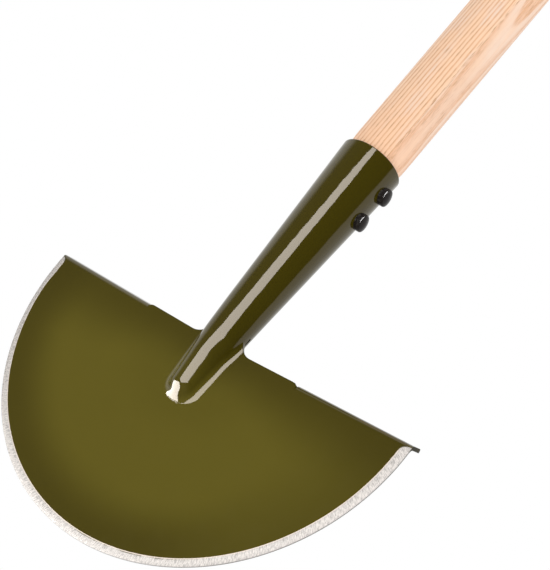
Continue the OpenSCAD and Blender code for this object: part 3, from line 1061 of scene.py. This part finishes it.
def black_satin(name, z):
    """Black finish of a rivet, rubbed thin round the head's edge."""
    shade = Shader(name)
    sideways = shade.y * cos(RIVET_TURN) - shade.x * sin(RIVET_TURN)
    off_axis = shade.length(0.0, sideways, shade.z - z)
    rubbed = off_axis.ramp(*RUBBED_RING) * shade.noise(*RUB_NOISE).ramp(*RUBBED)
    hammered = shade.bump(shade.noise(*HAMMER_NOISE), depth=0.05)
    return shade.finished(
        Base_Color=shade.blend(rubbed, RIVET_BLACK, RIVET_RUBBED),
        Roughness=shade.noise(*SATIN_NOISE).ramp(*SATIN),
        IOR=1.5,
        Specular_IOR_Level=0.1,
        Normal=shade.bump(shade.noise(*BLACK_GRAIN), depth=0.015, over=hammered),
    )


PIN_DULL = (0.50, 0.49, 0.47)
PIN_BRIGHT = (0.70, 0.69, 0.67)
TURNING_NOISE, TURNING_STRETCH = (0.25, 2.0), 0.2
TURNED_ROUGHNESS = (0.3, 0.7, 0.25, 0.42)


def bright_steel():
    """Turned steel of the grip's pin."""
    shade = Shader("turned_steel")
    off_axis = shade.length(shade.x, 0.0, shade.z - GRIP_Z)
    marks = shade.noise(*TURNING_NOISE, at=shade.vector(off_axis, shade.y * TURNING_STRETCH, 0.0))
    return shade.finished(
        Base_Color=shade.blend(marks, PIN_DULL, PIN_BRIGHT),
        Metallic=1.0,
        Roughness=marks.ramp(*TURNED_ROUGHNESS),
        Normal=shade.bump(marks, depth=0.01),
    )


FLOOR_LOW = (0.80, 0.80, 0.79)
FLOOR_HIGH = (0.86, 0.86, 0.85)
FLOOR_NOISE = (3.0, 3.0)


def pale_floor():
    """Plain pale floor that is open when seen from below."""
    shade = Shader("pale_floor")
    grain = shade.noise(*FLOOR_NOISE)
    from_below = shade.made("ShaderNodeNewGeometry", {}, "Backfacing")
    above, below = Field(shade, shade.surface.outputs[0]), shade.made("ShaderNodeBsdfTransparent", {})
    sides = shade.made("ShaderNodeMixShader", {0: from_below, 1: above, 2: below})
    shade.wire(shade.tree.nodes["Material Output"].inputs["Surface"], sides)
    return shade.finished(
        Base_Color=shade.blend(grain, FLOOR_LOW, FLOOR_HIGH),
        Roughness=0.8,
        Normal=shade.bump(grain, depth=0.05),
    )


head = dress(build_head(), "head", "olive_paint", olive_paint(), ground_steel(), scuffed_paint())
shaft = dress(build_shaft(), "handle_shaft", "ash", ash_wood("ash_along_shaft", "z"))
grip = dress(build_grip(), "cross_grip", "ash", ash_wood("ash_along_grip", "x"))
pin = dress(build_pin(), "grip_pin", "bright_steel", bright_steel())
rivets = [
    dress(build_rivet(f"rivet_{end}", z), f"{end}_rivet", "black_steel", black_satin(f"black_satin_{end}", z))
    for end, z in (("upper", UPPER_RIVET_Z), ("lower", LOWER_RIVET_Z))
]

# Camera at the photograph's viewing angle
CAMERA_PLACE = (0.384979, -0.537802, -0.078868)
CAMERA_TURN = (114.68383, -37.50011, 19.76186)
FOCAL_PIXELS = 1450.0
IMAGE_HEIGHT = 570.0

camera_data = bpy.data.cameras.new("camera")
camera_data.lens = FOCAL_PIXELS * camera_data.sensor_width / IMAGE_HEIGHT
camera = add_object("camera", camera_data)
camera.location = CAMERA_PLACE
camera.rotation_euler = Euler([radians(a) for a in CAMERA_TURN])
bpy.context.scene.camera = camera
bpy.context.scene.view_settings.view_transform = "Standard"

# Studio: lamps round the blade or the handle
VIEW_AXES = camera.rotation_euler.to_matrix()
BLADE_AIM = Vector((0.0, 0.0, 0.1))
HANDLE_AIM = Vector((0.0, 0.0, 0.32))


def light_only(data, lights):
    """Lamp that lights only the given pieces."""
    lamp = add_object(data.name, data)
    lamp.visible_camera = False
    receivers = bpy.data.collections.new(data.name + "_receivers")
    for piece in lights:
        receivers.objects.link(piece)
    lamp.light_linking.receiver_collection = receivers
    return lamp


def softbox(
    name, lights, turn, rise, radiance, distance=1.3, size=(1.2, 1.2), roll=0.0, glossy=False, aim=BLADE_AIM
):
    """Area lamp by degrees right and up of the camera, only for highlights or only for diffuse light."""
    width, height = size
    data = bpy.data.lights.new(name, "AREA")
    data.shape, data.size, data.size_y = "RECTANGLE", width, height
    data.energy = radiance * 4 * width * height
    lamp = light_only(data, lights)
    a, e = radians(turn), radians(rise)
    back = VIEW_AXES @ Vector((cos(e) * sin(a), sin(e), cos(e) * cos(a)))
    right = VIEW_AXES.col[1].cross(back).normalized()
    upright = Matrix((right, back.cross(right), back)).transposed()
    turned = upright @ Matrix.Rotation(radians(roll), 3, "Z")
    lamp.matrix_world = Matrix.LocRotScale(aim + back * distance, turned.to_quaternion(), None)
    lamp.visible_diffuse, lamp.visible_glossy = not glossy, glossy


handle = (shaft, grip, pin)
softbox(
    "overhead_softbox", (head,), turn=-20.0, rise=34.5, radiance=7.0, distance=1.8, size=(2.10, 1.25),
    roll=9.0, glossy=True,
)
softbox(
    "side_softbox", (head,), turn=-81.5, rise=-2.6, radiance=14.5, distance=0.5, size=(0.435, 0.25),
    glossy=True,
)
softbox(
    "rivet_glint", rivets, turn=20.0, rise=32.0, radiance=70.0, distance=1.8, size=(3.0, 1.2), roll=42.0,
    glossy=True,
)
softbox("head_light", (head, *rivets), turn=-18.0, rise=34.0, radiance=1.50)
softbox("handle_light_left", handle, turn=-62.0, rise=25.0, radiance=0.80, aim=HANDLE_AIM)
softbox("handle_light_right", handle, turn=45.0, rise=5.0, radiance=1.50, aim=HANDLE_AIM)

# World: a white backdrop behind the object, with a softer edge on the left, and a dim studio in front
BACKDROP_FACING = Vector((-0.2, 0.2, 0.96)).normalized()
BACKDROP_SOFT, BACKDROP_SHARP = 0.16, 0.05  # half width of its edge on the left and on the right
SIDE_SPAN = (-0.4, 0.4)
STUDIO_LEFT, STUDIO_RIGHT = 0.16, 0.04
AMBIENT = 0.6
WHITE = (1.0, 1.0, 1.0, 1.0)


def build_world():
    """White for the camera, the backdrop and studio for reflections, even for diffuse light."""
    world = bpy.data.worlds.new("studio")
    world.use_nodes = True
    nodes = Nodes(world.node_tree)
    direction = nodes.made("ShaderNodeTexCoord", {}, "Generated")
    path = nodes.add("ShaderNodeLightPath")

    def along(axis):
        """Share of a ray's direction along one of the camera's own axes."""
        given = {0: direction, 1: VIEW_AXES @ axis}
        return nodes.made("ShaderNodeVectorMath", given, "Value", operation="DOT_PRODUCT")

    def choose(ray, otherwise, chosen):
        given = {0: Field(nodes, path.outputs[ray]), 2: otherwise, 3: chosen}
        return nodes.made("ShaderNodeMix", given)

    sideways = along(Vector((1, 0, 0)))
    starts = sideways.ramp(*SIDE_SPAN, BACKDROP_SOFT, BACKDROP_SHARP)
    ends = sideways.ramp(*SIDE_SPAN, -BACKDROP_SOFT, -BACKDROP_SHARP)
    front = sideways.ramp(*SIDE_SPAN, STUDIO_LEFT, STUDIO_RIGHT)
    behind = along(BACKDROP_FACING).ramp(starts, ends, front, 1.0)
    strength = choose("Is Glossy Ray", AMBIENT, behind)
    strength = choose("Is Transmission Ray", strength, 1.0)
    strength = choose("Is Camera Ray", strength, 1.0)
    background = world.node_tree.nodes["Background"]
    nodes.wire(background.inputs["Color"], WHITE)
    nodes.wire(background.inputs["Strength"], strength)
    bpy.context.scene.world = world


build_world()

# Floor below the object, lit from straight above by a lamp of its own
FLOOR_Z = -0.35
FLOOR_HALF = 60.0
FLOOR_LIGHT = 1.35
FLOOR_SIGNS = ((-1, -1), (1, -1), (1, 1), (-1, 1))

floor_mesh = bpy.data.meshes.new("floor")
floor_corners = [(x * FLOOR_HALF, y * FLOOR_HALF, FLOOR_Z) for x, y in FLOOR_SIGNS]
floor_mesh.from_pydata(floor_corners, [], [range(len(floor_corners))])
floor = add_object("floor", floor_mesh)
floor.data.materials.append(pale_floor())
floor.visible_glossy = False
floor.visible_shadow = False
floor_lamp = bpy.data.lights.new("floor_light", "SUN")
floor_lamp.energy = FLOOR_LIGHT
floor_lamp.angle = radians(30.0)
light_only(floor_lamp, (floor,))
